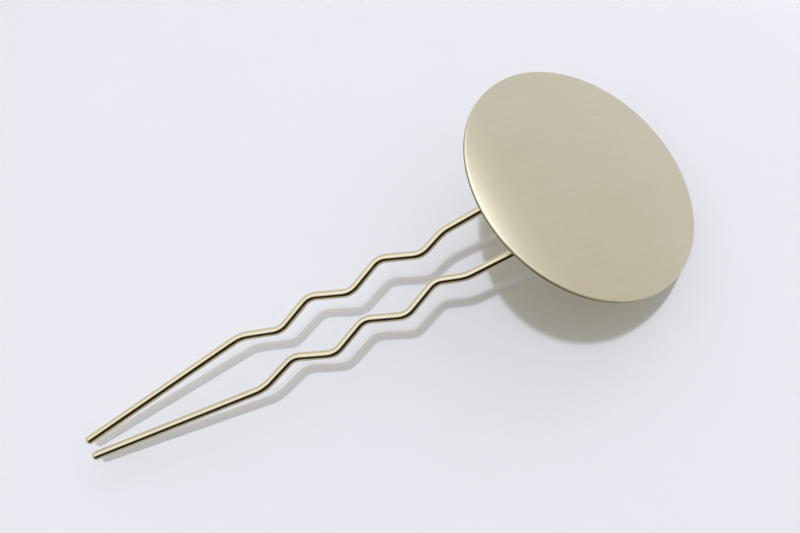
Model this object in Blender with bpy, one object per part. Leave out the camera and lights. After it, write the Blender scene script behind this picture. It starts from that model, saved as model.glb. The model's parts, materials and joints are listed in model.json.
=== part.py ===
"""Hairpin: a shallow domed disc soldered onto the bow of a crimped two-pronged wire pin.

Units are metres and +Z is up. The pin is modelled as it lies on a table: the two tips and
the far rim of the disc touch z = 0, and the prongs run along -X. Left and right are those
of someone who faces the brushed front with the disc at the top, so left is +Y.

Two working frames are used under the resting tilt:
  pin frame   X along the prongs towards the disc, XY is the plane of the prongs, and the
              elbows, where the wire leaves that plane, are at x = 0.
  disc frame  Z along the disc's front normal, XY is the plane of the rim, and the centre
              of the rim is the origin.
"""
import math

import bpy
import numpy as np

# Wire, which is one length of round spring wire on the real pin
WIRE_DIAMETER = 0.00125
WIRE_RADIUS = WIRE_DIAMETER / 2

# Disc
DISC_DIAMETER = 0.035
DISC_THICKNESS = 0.0005
DOME_RISE = 0.0014           # middle of the disc above the plane of its rim
DOME_STEEPNESS = 2.4         # exponent of the dome's fall, 2 would be a paraboloid
FLAT_RADIUS = 0.0025         # flat land left at the middle of the dome
RIM_ROUNDING = 0.00015       # radius on both corners of the disc's edge

# Bow, the bent end of the wire that lies on the back of the disc
BOW_INNER_RADIUS = 0.00338
BOW_STRAIGHT = 0.0042        # straight leg on the disc between an elbow and the bow
ELBOW_RADIUS = 0.0025
ELBOW_PAST_CENTRE = 0.0019   # elbows from the disc's centre, towards the bow
DISC_TO_PRONGS_ANGLE = math.radians(40.2)

# Prongs: distances along the pin from the elbows
PRONG_REACH = 0.0787         # from the elbows to the very end of a tip
CRIMP_START = 0.0208         # first slight bend inwards
CRIMP_LEAD = 0.0040          # from that bend to the first inner bend
CRIMP_HALF_PITCH = 0.0055    # from an inner bend to the next outer one
CRIMP_HALF_WAVES = 5         # half waves between the first inner bend and the last outer one
CRIMP_RADIUS = 0.0026
SLIGHT_BEND_RADIUS = 0.0055  # first bend inwards, and last outer bend
# Prongs: half of the free space between the two wires
START_HALF_SPACE = 0.00293
INNER_HALF_SPACE = 0.00148
OUTER_HALF_SPACE = 0.00383
SHOULDER_HALF_SPACE = 0.00343   # last outer bend, from which the straight ends converge
TIP_HALF_SPACE = 0.0006

# Solder beads that hold the bow to the disc
BEAD_HALF_LENGTH = 0.0017
BEAD_WALL = 0.00095          # solder beside the wire, at the foot of a bead
BEAD_COVER = 0.00035         # solder over the far side of the wire

# Fits
SEAT_GAP = 0.0003            # wire or solder to the back of the disc, and wire to solder
FLEX_GAP = 0.0003            # between the bow's wire and a prong at the flex point
# A prong bends elastically. A rigid link hinged at this share of the free length, counted
# from the solder, moves its tip as the bending wire does.
FLEX_POINT_SHARE = 0.15

# A bend or a rounding takes up no more than this share of a straight run or of a wall
ROUNDING_LIMIT_SHARE = 0.48

# Facets
WIRE_SIDES = 12
DISC_SEGMENTS = 64
DOME_RINGS = 9
CORNER_RINGS = 3
BEND_STEPS = 5
BOW_STEPS = 16
TIP_RINGS = 4
BEAD_SEGMENTS = 24
BEAD_RINGS = 5
RING_SPACING_POWER = 0.75    # below 1, rings of the dome grow closer towards the rim
TIP_END_ANGLE = math.radians(82)    # where the rounded tip ends in a small flat
SHARP_ANGLE = math.radians(35)

BRASS = {"base_color": (0.72, 0.65, 0.50, 1.0), "metallic": 1.0, "roughness": 0.38}
WIRE_BRASS = {"base_color": (0.77, 0.69, 0.51, 1.0), "metallic": 1.0, "roughness": 0.22}
SOLDER = {"base_color": (0.66, 0.60, 0.46, 1.0), "metallic": 1.0, "roughness": 0.45}

DISC_RADIUS = DISC_DIAMETER / 2
HALF_THICKNESS = DISC_THICKNESS / 2
RIM_CORNER = min(RIM_ROUNDING, ROUNDING_LIMIT_SHARE * DISC_THICKNESS)
BOW_RADIUS = BOW_INNER_RADIUS + WIRE_RADIUS  # also half the distance between the two legs
CROWN_REACH = BOW_STRAIGHT + BOW_RADIUS      # elbows to the wire's centre at the bow's crown
CLEARANCE_RADIUS = WIRE_RADIUS + SEAT_GAP    # hollow of a solder bead round the wire


def clear_scene():
    """Remove every object that the file already holds."""
    for old in list(bpy.data.objects):
        bpy.data.objects.remove(old, do_unlink=True)


def dome_height(radius):
    """Height of the disc's middle surface above the rim plane at a distance from its axis."""
    share = max(0.0, (radius - FLAT_RADIUS) / (DISC_RADIUS - FLAT_RADIUS))
    return DOME_RISE * (1.0 - share ** DOME_STEEPNESS)


# Level of the wire's centre line on the back of the disc, which it meets first at the crown
BOW_LEVEL = (
    dome_height(ELBOW_PAST_CENTRE + CROWN_REACH + WIRE_RADIUS)
    - HALF_THICKNESS - SEAT_GAP - WIRE_RADIUS
)


def disc_axes():
    """Direction down the disc to its far rim, and its front normal, in the pin frame."""
    slope = DISC_TO_PRONGS_ANGLE
    return (np.array([math.cos(slope), 0.0, -math.sin(slope)]),
            np.array([math.sin(slope), 0.0, math.cos(slope)]))


def rim_centre():
    """Centre of the disc's rim in the pin frame."""
    down_disc, normal = disc_axes()
    return -BOW_LEVEL * normal - ELBOW_PAST_CENTRE * down_disc


def resting_pose():
    """Tilt about Y, and place of the elbows, with the tips and the disc's far rim on z = 0.

    In the side view a tip is a circle of the wire's radius and the disc's lower corner is a
    circle of the rim's rounding. The table is the straight line that touches both from below.
    """
    down_disc, normal = disc_axes()
    tip = np.array([WIRE_RADIUS - PRONG_REACH, 0.0, 0.0])
    edge = rim_centre() + (DISC_RADIUS - RIM_CORNER) * down_disc
    lower_corner = edge - (HALF_THICKNESS - RIM_CORNER) * normal
    upper_corner = edge + (HALF_THICKNESS - RIM_CORNER) * normal

    across = lower_corner - tip
    tilt = math.asin((RIM_CORNER - WIRE_RADIUS) / np.linalg.norm(across))
    tilt -= math.atan2(across[2], across[0])
    along = np.array([math.cos(tilt), 0.0, -math.sin(tilt)])
    upwards = np.array([math.sin(tilt), 0.0, math.cos(tilt)])
    tip_x, tip_z = along @ tip, upwards @ tip
    rim_x = along @ upper_corner
    middle_x = ((tip_x - WIRE_RADIUS) + (rim_x + RIM_CORNER)) / 2
    return tilt, (-middle_x, 0.0, WIRE_RADIUS - tip_z)


def make_material(name, look):
    """A plain metal for one kind of piece."""
    material = bpy.data.materials.new(name)
    material.use_nodes = True
    shader = material.node_tree.nodes["Principled BSDF"]
    shader.inputs["Base Color"].default_value = look["base_color"]
    shader.inputs["Metallic"].default_value = look["metallic"]
    shader.inputs["Roughness"].default_value = look["roughness"]
    return material


def place(thing, parent, location=(0.0, 0.0, 0.0), tilt=0.0):
    """Link an object under its parent at a place, turned about Y."""
    bpy.context.scene.collection.objects.link(thing)
    thing.parent = parent
    thing.location = location
    thing.rotation_euler = (0.0, tilt, 0.0)
    return thing


def skin_rings(name, rings, material=None):
    """Join equal rings of points, in order, and close the first and last with flat faces."""
    count, sides = rings.shape[:2]
    corner = np.arange(count * sides).reshape(count, sides)
    beside = np.roll(corner, -1, axis=1)
    quads = np.stack([corner[:-1], beside[:-1], beside[1:], corner[1:]], axis=-1)
    faces = quads.reshape(-1, 4).tolist()
    faces.append(corner[0][::-1].tolist())
    faces.append(corner[-1].tolist())
    mesh = bpy.data.meshes.new(name)
    mesh.from_pydata(rings.reshape(-1, 3).tolist(), [], faces)
    mesh.shade_smooth()
    mesh.set_sharp_from_angle(angle=SHARP_ANGLE)
    if material:
        mesh.materials.append(material)
    return bpy.data.objects.new(name, mesh)


def turned(name, profile, segments, material=None):
    """Turn an outline of (radius, height) points about Z, from the lowest end to the highest."""
    radius, height = np.array(profile).T
    # Half a step of turn puts the middle of a facet, and not a corner, on each axis
    angle = (np.arange(segments) + 0.5) * 2 * math.pi / segments
    rings = np.stack([
        np.outer(radius, np.cos(angle)),
        np.outer(radius, np.sin(angle)),
        np.repeat(height[:, None], segments, axis=1),
    ], axis=-1)
    return skin_rings(name, rings, material)


def sweep(name, path, radii, material=None):
    """Skin round sections of the given radii along a path, with no twist between them."""
    path = np.array(path)
    steps = np.diff(path, axis=0)
    steps /= np.linalg.norm(steps, axis=1)[:, None]
    tangents = np.vstack([steps[:1], steps[:-1] + steps[1:], steps[-1:]])
    tangents /= np.linalg.norm(tangents, axis=1)[:, None]
    angle = np.arange(WIRE_SIDES) * 2 * math.pi / WIRE_SIDES
    side = np.cross(tangents[0], (0.0, 0.0, 1.0))
    rings = []
    for centre, tangent, radius in zip(path, tangents, radii):
        side = side - tangent * (tangent @ side)
        side /= np.linalg.norm(side)
        up = np.cross(tangent, side)
        rings.append(centre + radius * (np.outer(np.cos(angle), side) + np.outer(np.sin(angle), up)))
    return skin_rings(name, np.array(rings), material)


def bend_cut(radius, turn, shorter_run):
    """Length that a bend of this radius and turn takes up on each side of its corner."""
    return min(radius * math.tan(turn / 2), ROUNDING_LIMIT_SHARE * shorter_run)


def rounded(corners, radii):
    """Points along straight runs whose corners are bent to the given radii."""
    corners = np.array(corners)
    points = [corners[0]]
    for before, corner, after, radius in zip(corners[:-2], corners[1:-1], corners[2:], radii):
        run_back, run_ahead = np.linalg.norm(before - corner), np.linalg.norm(after - corner)
        back, ahead = (before - corner) / run_back, (after - corner) / run_ahead
        turn = math.pi - math.acos(back @ ahead)
        cut = bend_cut(radius, turn, min(run_back, run_ahead))
        bend = cut / math.tan(turn / 2)
        start = corner + back * cut
        inwards = (back + ahead) / np.linalg.norm(back + ahead)
        centre = corner + inwards * bend / math.cos(turn / 2)
        for angle in np.linspace(0.0, turn, BEND_STEPS + 1):
            points.append(centre + (start - centre) * math.cos(angle)
                          - back * bend * math.sin(angle))
    points.append(corners[-1])
    return np.array(points)


def prong_path(start):
    """Centre line of one prong in the plane of the prongs, from a distance off the elbows.

    A point is its distance from the elbows and its distance from the pin's axis.
    """
    bends = [(CRIMP_START, START_HALF_SPACE, SLIGHT_BEND_RADIUS)]
    reach = CRIMP_START + CRIMP_LEAD
    for half_wave in range(CRIMP_HALF_WAVES):
        half_space = OUTER_HALF_SPACE if half_wave % 2 else INNER_HALF_SPACE
        bends.append((reach + half_wave * CRIMP_HALF_PITCH, half_space, CRIMP_RADIUS))
    shoulder = reach + CRIMP_HALF_WAVES * CRIMP_HALF_PITCH
    bends.append((shoulder, SHOULDER_HALF_SPACE, SLIGHT_BEND_RADIUS))
    corners = [(start, leg_offset(start))]
    corners += [(along, half_space + WIRE_RADIUS) for along, half_space, _ in bends]
    corners.append((PRONG_REACH - WIRE_RADIUS, TIP_HALF_SPACE + WIRE_RADIUS))
    return rounded(corners, [radius for _, _, radius in bends])


def flex_point():
    """Where a prong's flex axis lies: its distances from the elbows and from the pin's axis."""
    bead_to_elbow = leg_middle() - BEAD_HALF_LENGTH
    reach = FLEX_POINT_SHARE * (PRONG_REACH + bead_to_elbow) - bead_to_elbow
    return reach, leg_offset(reach)


def leg_middle():
    """Middle of the straight leg that lies on the disc, counted from the elbow's corner."""
    return (bend_cut(ELBOW_RADIUS, DISC_TO_PRONGS_ANGLE, BOW_STRAIGHT) + BOW_STRAIGHT) / 2


def leg_offset(reach):
    """Distance of a leg from the pin's axis on its straight run from elbow to crimps."""
    return np.interp(reach, (0.0, CRIMP_START), (BOW_RADIUS, START_HALF_SPACE + WIRE_RADIUS))


def bow_path():
    """Centre line of the bow's wire in the pin frame, from the left flex point to the right."""
    reach, _ = flex_point()
    end = reach - FLEX_GAP / 2
    fall, _ = disc_axes()
    leg = rounded(
        [(-end, leg_offset(end), 0.0),
         (0.0, BOW_RADIUS, 0.0),
         tuple(fall * BOW_STRAIGHT + (0.0, BOW_RADIUS, 0.0))],
        [ELBOW_RADIUS])
    angles = np.linspace(math.pi / 2, -math.pi / 2, BOW_STEPS + 1)[1:-1]
    crown = [fall * (BOW_STRAIGHT + BOW_RADIUS * math.cos(angle))
             + (0.0, BOW_RADIUS * math.sin(angle), 0.0) for angle in angles]
    mirrored = leg[::-1] * (1.0, -1.0, 1.0)
    return np.vstack([leg, crown, mirrored])


def make_disc(parent, material):
    """The domed sheet disc, with both corners of its edge rounded."""
    corner_radius = DISC_RADIUS - RIM_CORNER
    corner_height = HALF_THICKNESS - RIM_CORNER
    spread = np.linspace(0.0, 1.0, DOME_RINGS) ** RING_SPACING_POWER
    radii = FLAT_RADIUS + spread * (corner_radius - FLAT_RADIUS)
    back = [(radius, dome_height(radius) - HALF_THICKNESS) for radius in radii]
    front = [(radius, dome_height(radius) + HALF_THICKNESS) for radius in radii[::-1]]
    lower = []
    for ring in range(1, CORNER_RINGS + 1):
        angle = math.pi / 2 * ring / CORNER_RINGS
        lower.append((corner_radius + RIM_CORNER * math.sin(angle),
                      -corner_height - RIM_CORNER * math.cos(angle)))
    upper = [(radius, -height) for radius, height in lower[::-1]]
    disc = turned("disc", back + lower + upper + front, DISC_SEGMENTS, material)
    return place(disc, parent)


def make_wire_bow(parent, material):
    """The bow, both elbows and the fixed starts of the legs."""
    path = bow_path()
    return place(sweep("wire_bow", path, np.full(len(path), WIRE_RADIUS), material), parent)


def make_prong(name, side, parent, material):
    """One crimped prong with a rounded tip; its parent empty is on its flex axis."""
    reach, offset = flex_point()
    path = prong_path(reach + FLEX_GAP / 2)
    run = (path[-1] - path[-2]) / np.linalg.norm(path[-1] - path[-2])
    round_angles = np.linspace(0.0, TIP_END_ANGLE, TIP_RINGS + 1)[1:]
    radii = [WIRE_RADIUS] * len(path)
    radii += [WIRE_RADIUS * math.cos(angle) for angle in round_angles]
    rounding = [path[-1] + run * WIRE_RADIUS * math.sin(angle) for angle in round_angles]
    points = [(reach - along, side * (across - offset), 0.0)
              for along, across in np.vstack([path, rounding])]
    flex_axis = place(bpy.data.objects.new(name + "_flex_axis", None), parent,
                      (-reach, side * offset, 0.0))
    return place(sweep(name, points, radii, material), flex_axis)


def make_bead(name, centre, half_size, clearance, parent, material):
    """A mound of solder over the wire, hollowed by the wire's clearance."""
    outermost = math.hypot(*centre) + max(half_size)
    base = dome_height(outermost) - HALF_THICKNESS - SEAT_GAP
    top = BOW_LEVEL - WIRE_RADIUS - SEAT_GAP - BEAD_COVER
    angles = np.linspace(math.pi / 2 - TIP_END_ANGLE, math.pi / 2, BEAD_RINGS + 1)
    around = np.arange(BEAD_SEGMENTS) * 2 * math.pi / BEAD_SEGMENTS
    rings = np.stack([
        centre[0] + half_size[0] * np.outer(np.sin(angles), np.cos(around)),
        centre[1] + half_size[1] * np.outer(np.sin(angles), np.sin(around)),
        np.repeat((base + (top - base) * np.cos(angles))[:, None], BEAD_SEGMENTS, axis=1),
    ], axis=-1)
    bead = place(skin_rings(name, rings, material), parent)
    cut = bead.modifiers.new("wire clearance", "BOOLEAN")
    cut.operation = "DIFFERENCE"
    cut.solver = "EXACT"
    cut.object = clearance
    return bead


def make_beads(disc_frame, pin_frame, material):
    """Three solder beads: one on each leg behind the disc and one on the bow's crown."""
    path = bow_path()
    clearance = sweep("wire_clearance", path, np.full(len(path), CLEARANCE_RADIUS))
    place(clearance, pin_frame)
    clearance.hide_render = True
    clearance.display_type = "WIRE"
    on_leg = ELBOW_PAST_CENTRE + leg_middle()
    on_crown = ELBOW_PAST_CENTRE + CROWN_REACH
    half_width = CLEARANCE_RADIUS + BEAD_WALL
    along_x = (BEAD_HALF_LENGTH, half_width)
    along_y = (half_width, BEAD_HALF_LENGTH)
    for name, centre, half_size in (
            ("solder_bead_left", (on_leg, BOW_RADIUS), along_x),
            ("solder_bead_right", (on_leg, -BOW_RADIUS), along_x),
            ("solder_bead_crown", (on_crown, 0.0), along_y)):
        make_bead(name, centre, half_size, clearance, disc_frame, material)


def main():
    """Build the pin as it rests on the table."""
    clear_scene()
    disc_metal = make_material("brushed_brass", BRASS)
    wire_metal = make_material("brass_wire", WIRE_BRASS)
    solder_metal = make_material("plated_solder", SOLDER)

    tilt, elbows = resting_pose()
    # A positive turn about Y lowers +X, so raising the disc end is a negative one
    pin_frame = place(bpy.data.objects.new("pin_frame", None), None, elbows, -tilt)
    disc_frame = place(bpy.data.objects.new("disc_frame", None), pin_frame, rim_centre(),
                       DISC_TO_PRONGS_ANGLE)

    make_disc(disc_frame, disc_metal)
    make_wire_bow(pin_frame, wire_metal)
    make_prong("prong_left", 1, pin_frame, wire_metal)
    make_prong("prong_right", -1, pin_frame, wire_metal)
    make_beads(disc_frame, pin_frame, solder_metal)


main()
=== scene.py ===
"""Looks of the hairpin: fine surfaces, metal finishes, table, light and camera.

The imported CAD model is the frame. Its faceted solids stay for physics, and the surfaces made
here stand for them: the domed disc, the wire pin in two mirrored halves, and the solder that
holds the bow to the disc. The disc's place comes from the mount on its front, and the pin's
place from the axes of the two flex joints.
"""
from __future__ import annotations

import json
import logging
import math
from dataclasses import dataclass
from enum import Enum
from typing import Any

import bpy
import numpy as np
from mathutils import Matrix, Vector

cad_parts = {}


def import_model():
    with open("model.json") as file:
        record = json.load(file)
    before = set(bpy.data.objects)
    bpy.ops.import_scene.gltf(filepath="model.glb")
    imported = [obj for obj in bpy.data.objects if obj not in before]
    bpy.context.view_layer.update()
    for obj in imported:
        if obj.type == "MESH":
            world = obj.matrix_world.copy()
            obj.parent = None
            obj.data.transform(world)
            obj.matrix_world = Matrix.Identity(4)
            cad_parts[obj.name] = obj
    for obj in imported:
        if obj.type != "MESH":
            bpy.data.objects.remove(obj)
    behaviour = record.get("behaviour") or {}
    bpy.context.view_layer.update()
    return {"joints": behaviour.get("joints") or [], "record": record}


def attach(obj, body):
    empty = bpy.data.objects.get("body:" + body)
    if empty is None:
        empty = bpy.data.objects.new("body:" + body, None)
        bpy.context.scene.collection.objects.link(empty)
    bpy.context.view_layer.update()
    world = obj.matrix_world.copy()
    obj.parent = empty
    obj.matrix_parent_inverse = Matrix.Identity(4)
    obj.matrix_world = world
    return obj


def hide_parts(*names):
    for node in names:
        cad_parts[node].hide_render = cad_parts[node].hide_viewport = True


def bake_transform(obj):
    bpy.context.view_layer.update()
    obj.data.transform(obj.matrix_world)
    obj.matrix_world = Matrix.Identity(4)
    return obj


MM = 0.001
SURFACE_MAP = "surface_mm"
HEAD = "head"
# Octaves of ever finer noise that a pattern carries
FEW_OCTAVES = 2.0
SOME_OCTAVES = 3.0
MANY_OCTAVES = 4.0
FEWEST_ARC_POINTS = 8

log = logging.getLogger("hairpin")


class Side(Enum):
    """Which of the two mirrored halves a piece belongs to, as its sign along Y."""

    LEFT = 1
    RIGHT = -1

    @property
    def word(self) -> str:
        """The side's name as the CAD nodes, bodies and joints spell it."""
        return self.name.lower()


class Slot(Enum):
    """Material slots of the record."""

    DISC = "brushed_brass"
    WIRE = "brass_wire"
    SOLDER = "plated_solder"


def linear(hex_colour: str) -> tuple[float, float, float, float]:
    """Turn an sRGB hex colour into linear light, by the formula of the sRGB standard.

    Very dark values are divided by 12.92, and the others follow its 2.4 power curve.

    Args:
        hex_colour: six hex digits after a hash.

    Returns:
        Linear red, green and blue, and full opacity.
    """
    stored = np.array([int(hex_colour[place:place + 2], 16) for place in (1, 3, 5)]) / 255
    light = np.where(stored <= 0.04045, stored / 12.92, ((stored + 0.055) / 1.055) ** 2.4)
    return (*light.tolist(), 1.0)


def add_node(tree: bpy.types.NodeTree, kind: str, inputs: dict[Any, Any] | None = None,
             **settings: Any) -> bpy.types.Node:
    """Add a shader node with its settings, socket values and links.

    Args:
        tree: node tree that takes the node.
        kind: Blender's name for the node's type.
        inputs: for a socket's name or number, a value or the output socket that feeds it.
        **settings: properties of the node itself.

    Returns:
        The new node.
    """
    node = tree.nodes.new(kind)
    for name, value in settings.items():
        setattr(node, name, value)
    for key, value in (inputs or {}).items():
        if isinstance(value, bpy.types.NodeSocket):
            tree.links.new(value, node.inputs[key])
        else:
            node.inputs[key].default_value = value
    return node


def empty_material(name: str) -> tuple[bpy.types.Material, bpy.types.NodeTree]:
    """Start a node material with nothing in its tree.

    Args:
        name: the real finish's name.

    Returns:
        The material and its empty node tree.
    """
    material = bpy.data.materials.new(name)
    material.use_nodes = True
    material.node_tree.nodes.clear()
    return material, material.node_tree


@dataclass
class Skin:
    """Rings of points joined into one closed surface, with a pole at each end.

    Attributes:
        rings: points of each ring, in an array of rings x sides x 3.
        poles: first and last pole, in an array of 2 x 3.
        chart: place of each point in the surface's own map in mm, with one column more than
            the rings have sides, for the seam: rings x (sides + 1) x 2.
        pole_chart: place of each pole in that map, 2 x 2.
    """

    rings: np.ndarray
    poles: np.ndarray
    chart: np.ndarray
    pole_chart: np.ndarray

    def faces(self) -> tuple[np.ndarray, np.ndarray]:
        """Corners of all faces: quads between neighbouring rings, triangles at the poles.

        Returns:
            Vertex numbers of the quads, and of the triangles.
        """
        count, sides = self.rings.shape[:2]
        corner = np.arange(count * sides).reshape(count, sides)
        beside = np.roll(corner, -1, axis=1)
        quads = np.stack([corner[:-1], beside[:-1], beside[1:], corner[1:]], axis=-1)
        first = np.full(sides, count * sides)
        fans = np.stack([
            np.stack([first, beside[0], corner[0]], axis=-1),
            np.stack([first + 1, corner[-1], beside[-1]], axis=-1),
        ])
        return quads.reshape(-1, 4), fans.reshape(-1, 3)

    def corner_chart(self) -> np.ndarray:
        """Place in the surface's own map of every face corner, in the order of faces().

        Returns:
            An array of corners x 2.
        """
        here, beside = self.chart[:, :-1], self.chart[:, 1:]
        quads = np.stack([here[:-1], beside[:-1], beside[1:], here[1:]], axis=2)
        poles = np.repeat(self.pole_chart[:, None], here.shape[1], axis=1)
        first = np.stack([poles[0], beside[0], here[0]], axis=1)
        last = np.stack([poles[1], here[-1], beside[-1]], axis=1)
        return np.concatenate([part.reshape(-1, 2) for part in (quads, first, last)])

    def to_object(self, name: str) -> bpy.types.Object:
        """Make a smooth mesh object of the skin.

        Args:
            name: name of the object and of its mesh.

        Returns:
            The object, linked to the scene, at the origin.
        """
        mesh = bpy.data.meshes.new(name)
        points = np.concatenate([self.rings.reshape(-1, 3), self.poles])
        quads, fans = self.faces()
        mesh.from_pydata(points.tolist(), [], quads.tolist() + fans.tolist())
        chart = mesh.uv_layers.new(name=SURFACE_MAP)
        chart.data.foreach_set("uv", self.corner_chart().ravel())
        mesh.shade_smooth()
        piece = bpy.data.objects.new(name, mesh)
        bpy.context.scene.collection.objects.link(piece)
        return piece


def reach_along(points: np.ndarray) -> np.ndarray:
    """Distance of each point from the first one, along the line that joins them all.

    Args:
        points: points of the line, in order.

    Returns:
        One distance for each point.
    """
    steps = np.linalg.norm(np.diff(points, axis=0), axis=1)
    return np.concatenate([[0.0], np.cumsum(steps)])


def bent_line(corners: np.ndarray, radii: np.ndarray, spacing: float) -> np.ndarray:
    """Centre line of a wire that runs straight between bends.

    A bend of radius r and turn a starts r tan(a / 2) before its corner, and follows the arc
    about the centre that lies r / cos(a / 2) from the corner, on the inner side of the bend.
    An arc has one point for each degree, and no fewer than eight.

    Args:
        corners: corners of the line, with its two ends.
        radii: radius of the bend at each corner between the ends.
        spacing: distance between neighbouring points of the result.

    Returns:
        Points at even distances along the line.
    """
    runs = np.diff(corners, axis=0)
    runs /= np.linalg.norm(runs, axis=1)[:, None]
    pieces = [corners[:1]]
    for corner, back, ahead, radius in zip(corners[1:-1], -runs[:-1], runs[1:], radii):
        turn = math.pi - math.acos(float(back @ ahead))
        inwards = (back + ahead) / np.linalg.norm(back + ahead)
        centre = corner + inwards * radius / math.cos(turn / 2)
        start = corner + back * radius * math.tan(turn / 2)
        count = max(FEWEST_ARC_POINTS, int(math.degrees(turn)))
        angle = np.linspace(0.0, turn, count)[:, None]
        pieces.append(centre + (start - centre) * np.cos(angle) - back * radius * np.sin(angle))
    line = np.concatenate([*pieces, corners[-1:]])
    reach = reach_along(line)
    even = np.linspace(0.0, reach[-1], int(reach[-1] / spacing))
    return np.stack([np.interp(even, reach, line[:, axis]) for axis in range(3)], axis=-1)


@dataclass(frozen=True)
class BrushedBrass:
    """Brass sheet brushed one way with a fine belt, then plated pale gold.

    The belt leaves long shallow scratches, so the metal mirrors sharply along them and
    softly across them, and a highlight shows faint streaks. The furrows carry painted shade,
    a darker colour mixed in where the scratch noise runs high. The real scratches are about
    0.05 mm apart. They are drawn in bundles 0.2 mm apart, because finer ones wouldn't show.

    Attributes:
        grain_turn: turn of the gloss from the map's X, in whole turns, so that it stretches
            across the scratches.
        scratch_raggedness: how strongly the finer octaves of the scratches show.
        painted_shade_from: noise value at which the colour starts to turn to the furrows' painted
            shade.
        painted_shade_to: noise value at which it has turned by the painted shade share.
        painted_shade_share: most that it turns.
    """

    name: str = "brushed_pale_gold_brass"
    gold: str = "#e0d9c5"
    warm_gold: str = "#dbd0b3"
    # Colour of the furrows: painted shade, darker than the sheet's gold
    furrow_painted_shade: str = "#c6bda3"
    roughness: float = 0.30
    roughness_change: float = 0.05
    anisotropy: float = 0.80
    grain_turn: float = 0.25
    scratch_spacing: float = 0.20
    scratch_length: float = 14.0
    scratch_raggedness: float = 0.7
    painted_shade_from: float = 0.35
    painted_shade_to: float = 0.75
    painted_shade_share: float = 0.32
    cloud_size: float = 14.0
    scratch_depth: float = 0.0006 * MM

    def material(self) -> bpy.types.Material:
        """Build the finish; its map runs along the scratches in X and across them in Y."""
        material, tree = empty_material(self.name)
        chart = add_node(tree, "ShaderNodeUVMap", uv_map=SURFACE_MAP)
        lay = add_node(tree, "ShaderNodeMapping", {
            "Vector": chart.outputs["UV"],
            "Scale": (1 / self.scratch_length, 1 / self.scratch_spacing, 1.0)})
        scratches = add_node(tree, "ShaderNodeTexNoise", {
            "Vector": lay.outputs["Vector"], "Scale": 1.0, "Detail": MANY_OCTAVES,
            "Roughness": self.scratch_raggedness})
        clouds = add_node(tree, "ShaderNodeTexNoise", {
            "Vector": chart.outputs["UV"], "Scale": 1 / self.cloud_size,
            "Detail": FEW_OCTAVES})
        sheet = add_node(tree, "ShaderNodeMix", {
            "Factor": clouds.outputs["Fac"],
            "A": linear(self.gold), "B": linear(self.warm_gold)}, data_type="RGBA")
        # Painted shade: the colour turns darker, towards the furrows' colour, where the scratch
        # noise runs high
        painted_shade_amount = add_node(tree, "ShaderNodeMapRange", {
            "Value": scratches.outputs["Fac"], "From Min": self.painted_shade_from,
            "From Max": self.painted_shade_to, "To Min": 0.0, "To Max": self.painted_shade_share})
        colour = add_node(tree, "ShaderNodeMix", {
            "Factor": painted_shade_amount.outputs["Result"], "A": sheet.outputs["Result"],
            "B": linear(self.furrow_painted_shade)}, data_type="RGBA")
        roughness = add_node(tree, "ShaderNodeMapRange", {
            "Value": scratches.outputs["Fac"],
            "To Min": self.roughness - self.roughness_change,
            "To Max": self.roughness + self.roughness_change})
        relief = add_node(tree, "ShaderNodeBump", {
            "Height": scratches.outputs["Fac"], "Strength": 1.0,
            "Distance": self.scratch_depth})
        along = add_node(tree, "ShaderNodeTangent", direction_type="UV_MAP",
                         uv_map=SURFACE_MAP)
        metal = add_node(tree, "ShaderNodeBsdfPrincipled", {
            "Base Color": colour.outputs["Result"], "Metallic": 1.0,
            "Roughness": roughness.outputs["Result"],
            "Anisotropic": self.anisotropy, "Anisotropic Rotation": self.grain_turn,
            "Tangent": along.outputs["Tangent"], "Normal": relief.outputs["Normal"]})
        add_node(tree, "ShaderNodeOutputMaterial", {"Surface": metal.outputs["BSDF"]})
        return material


@dataclass(frozen=True)
class DrawnBrassWire:
    """Spring wire drawn through a die and plated pale gold after bending.

    The die leaves a bright skin with faint lines along the wire, and the plating varies a
    little in colour and gloss. The real lines are a few hundredths of a millimetre apart.
    They are drawn 0.16 mm apart, because finer ones wouldn't show.
    """

    name: str = "drawn_pale_gold_wire"
    gold: str = "#e2d9c0"
    deep_gold: str = "#dccfab"
    roughness: float = 0.17
    roughness_change: float = 0.05
    line_spacing: float = 0.16
    line_length: float = 12.0
    line_depth: float = 0.0004 * MM
    cloud_size: float = 5.0

    def material(self) -> bpy.types.Material:
        """Build the finish; its map runs along the wire in X and around it in Y."""
        material, tree = empty_material(self.name)
        chart = add_node(tree, "ShaderNodeUVMap", uv_map=SURFACE_MAP)
        lay = add_node(tree, "ShaderNodeMapping", {
            "Vector": chart.outputs["UV"],
            "Scale": (1 / self.line_length, 1 / self.line_spacing, 1.0)})
        lines = add_node(tree, "ShaderNodeTexNoise", {
            "Vector": lay.outputs["Vector"], "Scale": 1.0, "Detail": FEW_OCTAVES})
        place = add_node(tree, "ShaderNodeTexCoord")
        clouds = add_node(tree, "ShaderNodeTexNoise", {
            "Vector": place.outputs["Object"], "Scale": 1 / (self.cloud_size * MM),
            "Detail": SOME_OCTAVES})
        colour = add_node(tree, "ShaderNodeMix", {
            "Factor": clouds.outputs["Fac"],
            "A": linear(self.gold), "B": linear(self.deep_gold)}, data_type="RGBA")
        roughness = add_node(tree, "ShaderNodeMapRange", {
            "Value": clouds.outputs["Fac"],
            "To Min": self.roughness - self.roughness_change,
            "To Max": self.roughness + self.roughness_change})
        relief = add_node(tree, "ShaderNodeBump", {
            "Height": lines.outputs["Fac"], "Strength": 1.0, "Distance": self.line_depth})
        metal = add_node(tree, "ShaderNodeBsdfPrincipled", {
            "Base Color": colour.outputs["Result"], "Metallic": 1.0,
            "Roughness": roughness.outputs["Result"],
            "Normal": relief.outputs["Normal"]})
        add_node(tree, "ShaderNodeOutputMaterial", {"Surface": metal.outputs["BSDF"]})
        return material


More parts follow.
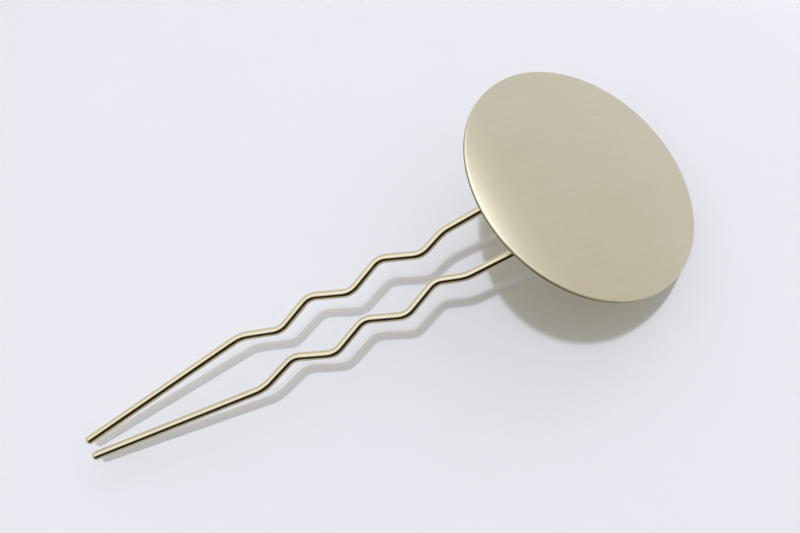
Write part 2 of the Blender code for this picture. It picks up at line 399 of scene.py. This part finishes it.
@dataclass(frozen=True)
class RolledBrassPaintedShade:
    """Back of the brass sheet, left as rolled and plated with the rest.

    It isn't brushed, so it is evenly satin, with faint wide bands and fine pits from the
    rolls. Its colours are darker and yellower than the front's, a painted shade of the disc's
    underside.
    """

    name: str = "rolled_brass_painted_shade"
    # Both colours are darkened well below the front's gold: painted shade of the underside
    gold: str = "#b6ac70"
    dull_gold_painted_shade: str = "#a59b62"
    roughness: float = 0.36
    roughness_change: float = 0.06
    band_width: float = 1.6
    band_length: float = 20.0
    pit_size: float = 0.35
    pit_depth: float = 0.0006 * MM

    def material(self) -> bpy.types.Material:
        """Build the finish; its map is the disc's, in mm."""
        material, tree = empty_material(self.name)
        chart = add_node(tree, "ShaderNodeUVMap", uv_map=SURFACE_MAP)
        lay = add_node(tree, "ShaderNodeMapping", {
            "Vector": chart.outputs["UV"],
            "Scale": (1 / self.band_length, 1 / self.band_width, 1.0)})
        bands = add_node(tree, "ShaderNodeTexNoise", {
            "Vector": lay.outputs["Vector"], "Scale": 1.0, "Detail": MANY_OCTAVES})
        pits = add_node(tree, "ShaderNodeTexNoise", {
            "Vector": chart.outputs["UV"], "Scale": 1 / self.pit_size,
            "Detail": FEW_OCTAVES})
        colour = add_node(tree, "ShaderNodeMix", {
            "Factor": bands.outputs["Fac"],
            "A": linear(self.gold), "B": linear(self.dull_gold_painted_shade)}, data_type="RGBA")
        roughness = add_node(tree, "ShaderNodeMapRange", {
            "Value": bands.outputs["Fac"],
            "To Min": self.roughness - self.roughness_change,
            "To Max": self.roughness + self.roughness_change})
        relief = add_node(tree, "ShaderNodeBump", {
            "Height": pits.outputs["Fac"], "Strength": 1.0, "Distance": self.pit_depth})
        metal = add_node(tree, "ShaderNodeBsdfPrincipled", {
            "Base Color": colour.outputs["Result"], "Metallic": 1.0,
            "Roughness": roughness.outputs["Result"],
            "Normal": relief.outputs["Normal"]})
        add_node(tree, "ShaderNodeOutputMaterial", {"Surface": metal.outputs["BSDF"]})
        return material


@dataclass(frozen=True)
class PunchedEdgePaintedReflection:
    """Cut edge that the punch left on the brass sheet, plated with the rest.

    It is torn below the rounded corner of the front. Both its colours are darkened far below
    the front's, a painted dark reflection of the room's dark side, so it reads as a thin dark
    line.
    """

    name: str = "punched_edge_painted_reflection"
    # Both colours are painted dark: a painted reflection of the room's dark side
    gold: str = "#8c7b45"
    torn_gold_painted_dark: str = "#6c5c30"
    roughness: float = 0.30
    roughness_change: float = 0.08
    tear_size: float = 0.3

    def material(self) -> bpy.types.Material:
        """Build the finish on object coordinates."""
        material, tree = empty_material(self.name)
        place = add_node(tree, "ShaderNodeTexCoord")
        tears = add_node(tree, "ShaderNodeTexNoise", {
            "Vector": place.outputs["Object"], "Scale": 1 / (self.tear_size * MM),
            "Detail": SOME_OCTAVES})
        colour = add_node(tree, "ShaderNodeMix", {
            "Factor": tears.outputs["Fac"],
            "A": linear(self.gold), "B": linear(self.torn_gold_painted_dark)}, data_type="RGBA")
        roughness = add_node(tree, "ShaderNodeMapRange", {
            "Value": tears.outputs["Fac"],
            "To Min": self.roughness - self.roughness_change,
            "To Max": self.roughness + self.roughness_change})
        metal = add_node(tree, "ShaderNodeBsdfPrincipled", {
            "Base Color": colour.outputs["Result"], "Metallic": 1.0,
            "Roughness": roughness.outputs["Result"]})
        add_node(tree, "ShaderNodeOutputMaterial", {"Surface": metal.outputs["BSDF"]})
        return material


@dataclass(frozen=True)
class PlatedSolder:
    """Soft solder that froze where it flowed, plated over with the rest.

    Its skin is slightly wrinkled, and greyer than the brass where the plating is thin.
    """

    name: str = "plated_solder"
    gold: str = "#d6c9a6"
    grey: str = "#bdb6a4"
    roughness: float = 0.32
    roughness_change: float = 0.10
    wrinkle_size: float = 0.55
    wrinkle_depth: float = 0.012 * MM
    blotch_size: float = 1.4

    def material(self) -> bpy.types.Material:
        """Build the finish on object coordinates."""
        material, tree = empty_material(self.name)
        place = add_node(tree, "ShaderNodeTexCoord")
        wrinkles = add_node(tree, "ShaderNodeTexNoise", {
            "Vector": place.outputs["Object"], "Scale": 1 / (self.wrinkle_size * MM),
            "Detail": SOME_OCTAVES})
        blotches = add_node(tree, "ShaderNodeTexNoise", {
            "Vector": place.outputs["Object"], "Scale": 1 / (self.blotch_size * MM),
            "Detail": FEW_OCTAVES})
        colour = add_node(tree, "ShaderNodeMix", {
            "Factor": blotches.outputs["Fac"],
            "A": linear(self.gold), "B": linear(self.grey)}, data_type="RGBA")
        roughness = add_node(tree, "ShaderNodeMapRange", {
            "Value": blotches.outputs["Fac"],
            "To Min": self.roughness - self.roughness_change,
            "To Max": self.roughness + self.roughness_change})
        relief = add_node(tree, "ShaderNodeBump", {
            "Height": wrinkles.outputs["Fac"], "Strength": 1.0,
            "Distance": self.wrinkle_depth})
        metal = add_node(tree, "ShaderNodeBsdfPrincipled", {
            "Base Color": colour.outputs["Result"], "Metallic": 1.0,
            "Roughness": roughness.outputs["Result"],
            "Normal": relief.outputs["Normal"]})
        add_node(tree, "ShaderNodeOutputMaterial", {"Surface": metal.outputs["BSDF"]})
        return material


@dataclass
class DomedDisc:
    """Round sheet-metal disc, domed towards its brushed front.

    Attributes:
        front: middle of the front face, from the record's mount.
        normal: outward direction there.
        ring_crowding: power of a ring's share of the way out. Below 1, the rings crowd
            towards the rim.
    """

    front: np.ndarray
    normal: np.ndarray
    diameter: float = 35.0 * MM
    thickness: float = 0.5 * MM
    dome_rise: float = 1.4 * MM
    dome_steepness: float = 2.4
    flat_radius: float = 2.5 * MM
    back_rounding: float = 0.15 * MM
    front_rounding: float = 0.18 * MM
    segments: int = 224
    dome_rings: int = 56
    ring_crowding: float = 0.7
    corner_rings: int = 8

    @classmethod
    def from_mount(cls, record: dict[str, Any]) -> DomedDisc:
        """Take the disc's place from the mount on its front."""
        mount = next(m for m in record["mounts"] if m["name"] == "disc_front")
        return cls(np.array(mount["pos_m"]), np.array(mount["axis"]))

    @property
    def radius(self) -> float:
        """Radius of the rim."""
        return self.diameter / 2

    @property
    def down(self) -> np.ndarray:
        """Direction in the disc's plane from its near rim to the far one."""
        across = np.array([self.normal[2], 0.0, -self.normal[0]])
        return across / np.linalg.norm(across)

    def dome_height(self, radius: np.ndarray | float) -> np.ndarray:
        """Height of the sheet's middle surface over the rim's plane.

        It is rise x (1 - s ^ steepness), where s is how far the radius has come from the
        edge of the flat land to the rim.

        Args:
            radius: distance from the disc's axis.

        Returns:
            The height at each distance.
        """
        share = np.maximum(0.0, np.subtract(radius, self.flat_radius))
        share = share / (self.radius - self.flat_radius)
        return self.dome_rise * (1.0 - share ** self.dome_steepness)

    def to_world(self, points: np.ndarray) -> np.ndarray:
        """Bring points from the disc's frame, whose origin is the rim's centre, into place."""
        rim_centre = self.front - self.normal * (self.dome_rise + self.thickness / 2)
        axes = np.stack([self.down, np.array([0.0, 1.0, 0.0]), self.normal])
        return rim_centre + points @ axes

    def outline(self) -> tuple[np.ndarray, np.ndarray]:
        """Half section of the disc, from the middle of the back to the middle of the front.

        Each corner is an arc that sets out along the dome's slope at the rim and ends upright.

        Returns:
            Radii and heights of its points, the two poles left out.
        """
        half = self.thickness / 2
        slope = math.atan(self.dome_rise * self.dome_steepness / (self.radius - self.flat_radius))
        rise, run = math.sin(slope), math.cos(slope)
        back_end = self.radius - self.back_rounding * (1.0 + rise)
        front_end = self.radius - self.front_rounding * (1.0 - rise)
        reach = np.linspace(0.0, 1.0, self.dome_rings + 1)[1:] ** self.ring_crowding
        back, front = reach * back_end, reach[::-1] * front_end
        low, high = self.dome_height(back) - half, self.dome_height(front) + half
        under = np.linspace(-slope, math.pi / 2, self.corner_rings + 1)[1:]
        over = np.linspace(math.pi / 2, slope, self.corner_rings + 1)[:-1]
        radii = np.concatenate([
            back, back_end + self.back_rounding * (np.sin(under) + rise),
            front_end + self.front_rounding * (np.sin(over) - rise), front])
        heights = np.concatenate([
            low, low[-1] + self.back_rounding * (run - np.cos(under)),
            high[0] - self.front_rounding * (run - np.cos(over)), high])
        return radii, heights

    def build(self, brushed: bpy.types.Material, rolled: bpy.types.Material,
              punched: bpy.types.Material) -> bpy.types.Object:
        """Turn the half section into the disc and dress its front, back and edge.

        Args:
            brushed: finish of the front and of its rounded corner.
            rolled: finish of the back, darkened with painted shade.
            punched: finish of the edge and of the back's corner, darkened with painted reflection.

        Returns:
            The disc.
        """
        radii, heights = self.outline()
        angle = np.linspace(0.0, 2 * math.pi, self.segments + 1)
        flat = np.stack([np.outer(radii, np.cos(angle)), np.outer(radii, np.sin(angle))],
                        axis=-1)
        height = np.repeat(heights[:, None], self.segments, axis=1)
        rings = np.concatenate([flat[:, :-1], height[..., None]], axis=-1)
        half = self.thickness / 2
        poles = np.array([[0.0, 0.0, self.dome_rise - half], [0.0, 0.0, self.dome_rise + half]])
        skin = Skin(self.to_world(rings), self.to_world(poles), flat / MM, np.zeros((2, 2)))
        disc = skin.to_object("domed_disc")
        for finish in (brushed, rolled, punched):
            disc.data.materials.append(finish)
        quads, fans = skin.faces()
        back_end = (self.dome_rings - 1) * self.segments
        edge_end = back_end + (self.corner_rings + 1) * self.segments
        finish_number = np.zeros(len(quads) + len(fans), dtype=np.int32)
        finish_number[:back_end] = 1
        finish_number[back_end:edge_end] = 2
        finish_number[len(quads):len(quads) + self.segments] = 1
        disc.data.polygons.foreach_set("material_index", finish_number)
        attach(disc, HEAD)
        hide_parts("disc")
        return disc


@dataclass
class WirePin:
    """Round wire bent into a bow and two crimped prongs, made as two mirrored halves.

    Distances along the pin are counted from the elbows, where the wire leaves the plane of
    the prongs to lie on the disc. A half space is the free room from the pin's middle plane
    to the wire's skin.

    Attributes:
        flex_axis: direction of the left prong's flex axis, from the record's joint.
        flex_point: a point on it.
        fall: direction of the wire on the disc, away from the prongs.
    """

    flex_axis: np.ndarray
    flex_point: np.ndarray
    fall: np.ndarray
    wire_radius: float = 0.625 * MM
    bow_inner_radius: float = 3.38 * MM
    bow_straight: float = 4.2 * MM
    elbow_radius: float = 2.5 * MM
    prong_reach: float = 78.7 * MM
    crimp_start: float = 20.8 * MM
    crimp_lead: float = 4.0 * MM
    crimp_half_pitch: float = 5.5 * MM
    crimp_half_waves: int = 5
    crimp_radius: float = 2.6 * MM
    slight_bend_radius: float = 5.5 * MM
    start_half_space: float = 2.93 * MM
    inner_half_space: float = 1.48 * MM
    outer_half_space: float = 3.83 * MM
    shoulder_half_space: float = 3.43 * MM
    tip_half_space: float = 0.6 * MM
    crown_parting: float = 0.02 * MM
    bending_half_length: float = 10.5 * MM
    ring_spacing: float = 0.25 * MM
    sides: int = 32
    tip_rings: int = 10

    @classmethod
    def from_joints(cls, joints: list[dict[str, Any]], fall: np.ndarray) -> WirePin:
        """Take the pin's place from the left prong's flex joint."""
        joint = next(j for j in joints if j["name"] == "prong_left_flex")
        return cls(np.array(joint["axis"]), np.array(joint["pos_m"]), fall)

    @property
    def bow_radius(self) -> float:
        """Radius of the bow's centre line, also half the distance between the legs."""
        return self.bow_inner_radius + self.wire_radius

    @property
    def along(self) -> np.ndarray:
        """Direction of the prongs' plane from the tips to the disc."""
        return np.array([-self.flex_axis[2], 0.0, self.flex_axis[0]])

    @property
    def elbows(self) -> np.ndarray:
        """Point between the two elbows, in the pin's middle plane.

        A leg closes in evenly from the elbow to the first crimp, so the flex axis's distance
        from the middle plane tells how far from the elbows it lies.
        """
        closing = self.bow_inner_radius - self.start_half_space
        reach = self.crimp_start * (self.bow_radius - self.flex_point[1]) / closing
        return self.flex_point * (1.0, 0.0, 1.0) + self.along * reach

    def corners(self, side: Side) -> tuple[np.ndarray, np.ndarray]:
        """Corners of one half's centre line from the bow's crown to the tip.

        Args:
            side: which half.

        Returns:
            The corners in world metres, and the bend radii at those between the ends.
        """
        wave = np.arange(self.crimp_half_waves)
        first = self.crimp_start + self.crimp_lead
        shoulder = first + self.crimp_half_waves * self.crimp_half_pitch
        reach = np.array([0.0, self.crimp_start, *(first + wave * self.crimp_half_pitch),
                          shoulder, self.prong_reach - self.wire_radius])
        space = np.array([self.bow_inner_radius, self.start_half_space,
                          *np.where(wave % 2, self.outer_half_space, self.inner_half_space),
                          self.shoulder_half_space, self.tip_half_space])
        across = np.array([0.0, float(side.value), 0.0])
        leg = np.outer(-reach, self.along) + np.outer(space + self.wire_radius, across)
        crown = self.fall * (self.bow_straight + self.bow_radius)
        bow = np.stack([crown + across * self.crown_parting, crown + across * self.bow_radius])
        radii = np.full(len(reach), self.crimp_radius)
        radii[:2] = self.bow_radius - self.crown_parting, self.elbow_radius
        radii[[2, -1]] = self.slight_bend_radius
        return self.elbows + np.concatenate([bow, leg]), radii

    def half(self, side: Side, finish: bpy.types.Material) -> bpy.types.Object:
        """Skin one half of the wire, with a hemispherical tip.

        A ring is centre + radius x (cos a x side + sin a x up), where side is the level
        direction across the wire and up completes the pair. Past the end of the centre line
        the radius falls as the cosine, and the reach grows as the sine, of a quarter turn.

        Args:
            side: which half.
            finish: finish of the wire.

        Returns:
            The half.
        """
        line = bent_line(*self.corners(side), self.ring_spacing)
        tangent = np.gradient(line, axis=0)
        tangent /= np.linalg.norm(tangent, axis=1)[:, None]
        quarter = np.linspace(0.0, math.pi / 2, self.tip_rings + 1)[1:-1]
        tip = line[-1] + np.outer(self.wire_radius * np.sin(quarter), tangent[-1])
        centres = np.concatenate([line, tip])
        tangent = np.concatenate([tangent, np.repeat(tangent[-1:], len(quarter), axis=0)])
        radius = np.concatenate([np.ones(len(line)), np.cos(quarter)]) * self.wire_radius
        level = np.cross(tangent, (0.0, 0.0, 1.0))
        level /= np.linalg.norm(level, axis=1)[:, None]
        up = np.cross(level, tangent)
        angle = np.linspace(0.0, 2 * math.pi, self.sides + 1)
        around = (np.cos(angle)[None, :, None] * level[:, None]
                  + np.sin(angle)[None, :, None] * up[:, None])
        rings = centres[:, None] + radius[:, None, None] * around
        ends = np.stack([line[0], line[-1] + self.wire_radius * tangent[-1]])
        reach = reach_along(centres)
        chart = np.stack(np.broadcast_arrays(
            reach[:, None], angle[None] * self.wire_radius), axis=-1) / MM
        end_chart = np.array([[0.0, 0.0], [reach[-1] / MM, 0.0]])
        skin = Skin(rings[:, -2::-1], ends, chart[:, ::-1], end_chart)
        wire = skin.to_object(f"wire_{side.word}_half")
        wire.data.materials.append(finish)
        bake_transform(wire)
        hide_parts(f"prong_{side.word}", "wire_bow")
        return wire


@dataclass
class SolderJoint:
    """Mound of solder that has wetted the wire and the back of the disc.

    Attributes:
        name: name of the CAD bead that it stands for.
        middle: its middle in the disc's frame, measured down the disc and to the left.
        along_wire: whether the wire runs down the disc there, and not across it.
        unevenness: how far its edge wavers, as a share of its size.
        broad_lobes: number of broad lobes around its edge.
        broad_share: their share of the wavering. The fine lobes have the rest.
        broad_turn: how far they are turned, in radians.
        fine_lobes: number of fine lobes around its edge.
    """

    name: str
    middle: tuple[float, float]
    along_wire: bool
    half_length: float = 1.7 * MM
    half_width: float = 1.87 * MM
    height: float = 2.05 * MM
    sink: float = 0.12 * MM
    unevenness: float = 0.05
    broad_lobes: int = 3
    broad_share: float = 0.6
    broad_turn: float = 1.0
    fine_lobes: int = 5
    segments: int = 96
    spread_rings: int = 28

    def build(self, disc: DomedDisc, finish: bpy.types.Material) -> bpy.types.Object:
        """Make the mound as a bell over an uneven oval.

        At the share s of the way from its middle to its edge, its skin stands off the disc's
        back by height x (1 - s^2)^2, which ends flat on the sheet as wetting solder does.
        The hidden side lies just inside the sheet. The oval wavers by the sum of two sines
        of the angle around it, one for the broad lobes and one for the fine ones.

        Args:
            disc: the disc that carries it.
            finish: finish of the solder.

        Returns:
            The mound.
        """
        angle = np.linspace(0.0, 2 * math.pi, self.segments + 1)
        broad = self.broad_share * np.sin(self.broad_lobes * angle + self.broad_turn)
        fine = (1.0 - self.broad_share) * np.sin(self.fine_lobes * angle)
        waver = 1.0 + self.unevenness * (broad + fine)
        down, left = ((self.half_length, self.half_width) if self.along_wire
                      else (self.half_width, self.half_length))
        edge = np.stack([down * np.cos(angle), left * np.sin(angle)], axis=-1)
        edge *= waver[:, None] / waver.max()
        # From beside the top out to the edge, and back in along the hidden side
        share = np.linspace(0.0, 1.0, self.spread_rings + 1)[1:]
        share = np.concatenate([share, share[::-1]])
        stand_off = self.height * (1.0 - share ** 2) ** 2
        stand_off[self.spread_rings:] = -self.sink
        flat = np.array(self.middle) + share[:, None, None] * edge
        back = disc.dome_height(np.linalg.norm(flat, axis=-1)) - disc.thickness / 2
        level = back - stand_off[:, None]
        solid = np.concatenate([flat, level[..., None]], axis=-1)
        middle_back = float(disc.dome_height(math.hypot(*self.middle))) - disc.thickness / 2
        poles = np.array([[*self.middle, middle_back - self.height],
                          [*self.middle, middle_back + self.sink]])
        skin = Skin(disc.to_world(solid[:, :-1]), disc.to_world(poles),
                    flat / MM, np.array([self.middle, self.middle]) / MM)
        mound = skin.to_object(f"{self.name}_mound")
        mound.data.materials.append(finish)
        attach(mound, HEAD)
        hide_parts(self.name)
        return mound


@dataclass(frozen=True)
class GlossyTable:
    """Pale table: a clear plate whose thin back coat mirrors a little, over white card.

    The pin rests on the plate's face, which mirrors it more at lower angles, up to a limit.
    The coat mirrors it from just below. The card lies deeper, so that the thin wires throw
    no sharp shadow. To the camera, and more so to metal, the card is lifted a little, which
    makes up for what the coat takes, and it keeps the pin's shadow.

    Attributes:
        lift: glow of the card to the camera, as a share of its white.
        mirrored_lift: glow of the card in whatever mirrors it.
        coat_share: share of the light that the coat mirrors.
        plate_most: most of the light that the plate's face mirrors.
    """

    coat_depth: float = 1.18 * MM
    card_depth: float = 4.0 * MM
    half_width: float = 1600 * MM
    white: str = "#f0f0f1"
    lift: float = 0.02
    mirrored_lift: float = 0.24
    coat_share: float = 0.31
    coat_roughness: float = 0.10
    plate_ior: float = 1.49
    plate_most: float = 0.12
    plate_roughness: float = 0.03

    def card_finish(self) -> bpy.types.Material:
        """White card, matt and even."""
        material, tree = empty_material("white_card")
        matt = add_node(tree, "ShaderNodeBsdfDiffuse", {"Color": linear(self.white)})
        path = add_node(tree, "ShaderNodeLightPath")
        mirrored = add_node(tree, "ShaderNodeMath", {
            0: path.outputs["Is Glossy Ray"], 1: path.outputs["Is Transmission Ray"]},
            operation="MAXIMUM")
        mirrored_strength = add_node(tree, "ShaderNodeMath", {
            0: mirrored.outputs["Value"], 1: self.mirrored_lift}, operation="MULTIPLY")
        strength = add_node(tree, "ShaderNodeMath", {
            0: path.outputs["Is Camera Ray"], 1: self.lift,
            2: mirrored_strength.outputs["Value"]}, operation="MULTIPLY_ADD")
        lift = add_node(tree, "ShaderNodeEmission", {
            "Color": linear(self.white), "Strength": strength.outputs["Value"]})
        card = add_node(tree, "ShaderNodeAddShader", {
            0: matt.outputs["BSDF"], 1: lift.outputs["Emission"]})
        add_node(tree, "ShaderNodeOutputMaterial", {"Surface": card.outputs["Shader"]})
        return material

    def clear_finish(self, name: str, share: float | None, roughness: float) -> bpy.types.Material:
        """See-through face that mirrors a share of the light.

        Args:
            name: the layer's name.
            share: share of the light that it mirrors, or None for that of clear acrylic,
                which is more at lower angles, up to a limit that keeps the table pale.
            roughness: roughness of the mirror.

        Returns:
            The finish.
        """
        material, tree = empty_material(name)
        fresnel = add_node(tree, "ShaderNodeFresnel", {"IOR": self.plate_ior})
        limited = add_node(tree, "ShaderNodeMath", {
            0: fresnel.outputs["Fac"], 1: self.plate_most}, operation="MINIMUM")
        clear = add_node(tree, "ShaderNodeBsdfTransparent", {"Color": linear("#ffffff")})
        mirror = add_node(tree, "ShaderNodeBsdfAnisotropic", {
            "Color": linear("#ffffff"), "Roughness": roughness})
        face = add_node(tree, "ShaderNodeMixShader", {
            0: limited.outputs["Value"] if share is None else share,
            1: clear.outputs["BSDF"], 2: mirror.outputs["BSDF"]})
        add_node(tree, "ShaderNodeOutputMaterial", {"Surface": face.outputs["Shader"]})
        return material

    def layer(self, name: str, level: float, finish: bpy.types.Material) -> bpy.types.Object:
        """Lay one square face of the table flat at a level."""
        reach = self.half_width
        corners = [(-reach, -reach), (reach, -reach), (reach, reach), (-reach, reach)]
        mesh = bpy.data.meshes.new(name)
        mesh.from_pydata([(x, y, level) for x, y in corners], [], [(0, 1, 2, 3)])
        mesh.materials.append(finish)
        face = bpy.data.objects.new(name, mesh)
        bpy.context.scene.collection.objects.link(face)
        return face

    def build(self) -> None:
        """Lay the card, the coat and the plate's face over one another."""
        self.layer("table_card", -self.card_depth, self.card_finish())
        coat = self.clear_finish("mirror_coat", self.coat_share, self.coat_roughness)
        self.layer("table_coat", -self.coat_depth, coat)
        plate = self.clear_finish("clear_acrylic", None, self.plate_roughness)
        self.layer("table_plate", 0.0, plate)


@dataclass(frozen=True)
class Softbox:
    """Rectangular soft lamp that looks at the pin.

    Attributes:
        azimuth: its direction from the pin, in degrees from +X to +Y.
        elevation: its direction over the table, in degrees.
        distance: its distance from the pin, in metres, as are its width and its height.
        glow: brightness of its face, where 1 is white.
    """

    name: str
    azimuth: float
    elevation: float
    distance: float
    width: float
    height: float
    glow: float
    colour: str = "#ecf0ff"

    def build(self) -> bpy.types.Object:
        """Hang the lamp at its direction and distance, facing the pin."""
        lamp = bpy.data.lights.new(self.name, "AREA")
        lamp.shape = "RECTANGLE"
        lamp.size, lamp.size_y = self.width, self.height
        # Cycles spreads a lamp's watts so that its face glows with a quarter of them per area
        lamp.energy = 4 * self.width * self.height * self.glow
        lamp.color = linear(self.colour)[:3]
        place = direction(self.azimuth, self.elevation) * self.distance
        softbox = bpy.data.objects.new(self.name, lamp)
        softbox.matrix_world = (Matrix.Translation(place)
                                @ place.to_track_quat("Z", "Y").to_matrix().to_4x4())
        bpy.context.scene.collection.objects.link(softbox)
        return softbox


@dataclass(frozen=True)
class Room:
    """Pale room with a bright ceiling and one dark side, where the camera stands.

    Bright metal is read by what it mirrors. The brushed disc mirrors the walls, which are
    pale, cooler on one side and warmer on the other, and the wires mirror the ceiling and
    the dark side, which draw the bright and the dark line along them. The camera sees the
    table's colour past the table's edge.

    Attributes:
        warm_from: cosine of the angle to the dark side's middle at which the walls start to
            turn warmer. At warm_to they are as warm as they get.
        ceiling_glow: brightness of the ceiling, where 1 is white.
        ceiling_from: height of a direction at which the ceiling starts to show, where 1 is
            straight up. At ceiling_to it has taken over.
        dark_from: cosine of the angle to the dark side's middle at which it starts to
            darken. At dark_to it is quite dark.
        seen: what the camera sees of the room.
    """

    walls: str = "#e7e9f0"
    warm_walls: str = "#dcdbd2"
    warm_from: float = -0.50
    warm_to: float = 0.20
    ceiling: str = "#f5f6ff"
    ceiling_glow: float = 1.34
    ceiling_from: float = 0.50
    ceiling_to: float = 0.85
    dark: str = "#30260f"
    seen: str = "#e4e7ee"
    dark_azimuth: float = -103.0
    dark_elevation: float = 30.0
    dark_from: float = 0.50
    dark_to: float = 0.80

    def build(self) -> bpy.types.World:
        """Paint the room by direction and hand it to the scene."""
        world = bpy.data.worlds.new("pale_room")
        world.use_nodes = True
        tree = world.node_tree
        tree.nodes.clear()
        place = add_node(tree, "ShaderNodeTexCoord")
        rise = add_node(tree, "ShaderNodeSeparateXYZ", {0: place.outputs["Generated"]})
        overhead = add_node(tree, "ShaderNodeMapRange", {
            "Value": rise.outputs["Z"], "From Min": self.ceiling_from,
            "From Max": self.ceiling_to}, interpolation_type="SMOOTHSTEP")
        ceiling = [channel * self.ceiling_glow for channel in linear(self.ceiling)]
        towards = add_node(tree, "ShaderNodeVectorMath", {
            0: place.outputs["Generated"],
            1: tuple(direction(self.dark_azimuth, self.dark_elevation))},
            operation="DOT_PRODUCT")
        warmth = add_node(tree, "ShaderNodeMapRange", {
            "Value": towards.outputs["Value"], "From Min": self.warm_from,
            "From Max": self.warm_to})
        walls = add_node(tree, "ShaderNodeMix", {
            "Factor": warmth.outputs["Result"], "A": linear(self.walls),
            "B": linear(self.warm_walls)}, data_type="RGBA")
        bright = add_node(tree, "ShaderNodeMix", {
            "Factor": overhead.outputs["Result"], "A": walls.outputs["Result"],
            "B": ceiling}, data_type="RGBA")
        darkness = add_node(tree, "ShaderNodeMapRange", {
            "Value": towards.outputs["Value"], "From Min": self.dark_from,
            "From Max": self.dark_to}, interpolation_type="SMOOTHSTEP")
        room = add_node(tree, "ShaderNodeMix", {
            "Factor": darkness.outputs["Result"], "A": bright.outputs["Result"],
            "B": linear(self.dark)}, data_type="RGBA")
        path = add_node(tree, "ShaderNodeLightPath")
        shown = add_node(tree, "ShaderNodeMix", {
            "Factor": path.outputs["Is Camera Ray"], "A": room.outputs["Result"],
            "B": linear(self.seen)}, data_type="RGBA")
        glow = add_node(tree, "ShaderNodeBackground", {
            "Color": shown.outputs["Result"], "Strength": 1.0})
        add_node(tree, "ShaderNodeOutputWorld", {"Surface": glow.outputs["Background"]})
        bpy.context.scene.world = world
        return world


@dataclass(frozen=True)
class PhotoCamera:
    """Camera that stands where the photograph's stood, found by fitting the solids to it.

    The aim is the point of the pin's frame that the middle of the image shows, measured in
    the image to the right and upwards from the origin.
    """

    azimuth: float = -90.016
    elevation: float = 74.411
    roll: float = 26.640
    distance: float = 155.68 * MM
    aim_right: float = 2.555 * MM
    aim_up: float = 5.265 * MM
    focal_pixels: float = 1109.5
    image_width: int = 800
    sensor_width: float = 36.0

    def build(self) -> bpy.types.Object:
        """Set up the camera and make it the scene's."""
        towards = direction(self.azimuth, self.elevation)
        level = Vector((0.0, 0.0, 1.0)).cross(towards).normalized()
        upright = towards.cross(level)
        turn = math.radians(self.roll)
        right = level * math.cos(turn) - upright * math.sin(turn)
        up = level * math.sin(turn) + upright * math.cos(turn)
        place = towards * self.distance + right * self.aim_right + up * self.aim_up
        lens = bpy.data.cameras.new("photo_camera")
        lens.sensor_width = self.sensor_width
        lens.lens = self.focal_pixels * self.sensor_width / self.image_width
        lens.clip_start = 1 * MM
        camera = bpy.data.objects.new("photo_camera", lens)
        camera.matrix_world = Matrix.Translation(place) @ Matrix(
            (right, up, towards)).transposed().to_4x4()
        bpy.context.scene.collection.objects.link(camera)
        bpy.context.scene.camera = camera
        return camera


def direction(azimuth: float, elevation: float) -> Vector:
    """Unit vector towards an azimuth, counted from +X to +Y, and an elevation, in degrees."""
    turn, rise = math.radians(azimuth), math.radians(elevation)
    return Vector((math.cos(rise) * math.cos(turn), math.cos(rise) * math.sin(turn),
                   math.sin(rise)))


def main() -> None:
    """Dress the pin, then set its table, light and camera."""
    logging.basicConfig(level=logging.INFO, format="%(name)s: %(message)s")
    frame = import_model()

    disc = DomedDisc.from_mount(frame["record"])
    disc_piece = disc.build(BrushedBrass().material(), RolledBrassPaintedShade().material(),
                            PunchedEdgePaintedReflection().material())
    log.info("%s: %d faces", disc_piece.name, len(disc_piece.data.polygons))

    pin = WirePin.from_joints(frame["joints"], disc.down)
    wire_finish = DrawnBrassWire().material()
    for side in Side:
        half = pin.half(side, wire_finish)
        log.info("%s: %d faces", half.name, len(half.data.polygons))

    solder_finish = PlatedSolder().material()
    elbows_down = float((pin.elbows - disc.front) @ disc.down)
    # The elbow's arc takes this much of the straight wire that lies on the disc
    elbow_cut = pin.elbow_radius * math.tan(math.acos(float(pin.along @ disc.down)) / 2)
    on_leg = elbows_down + (elbow_cut + pin.bow_straight) / 2
    on_crown = elbows_down + pin.bow_straight + pin.bow_radius
    for joint in (SolderJoint("solder_bead_left", (on_leg, pin.bow_radius), True),
                  SolderJoint("solder_bead_right", (on_leg, -pin.bow_radius), True),
                  SolderJoint("solder_bead_crown", (on_crown, 0.0), False)):
        mound = joint.build(disc, solder_finish)
        log.info("%s: %d faces", mound.name, len(mound.data.polygons))

    GlossyTable().build()
    Room().build()
    Softbox("key_softbox", azimuth=34.0, elevation=47.0, distance=0.9, width=0.44,
            height=0.26, glow=2.7).build()
    PhotoCamera().build()
    bpy.context.scene.view_settings.view_transform = "Standard"


if __name__ == "__main__":
    main()
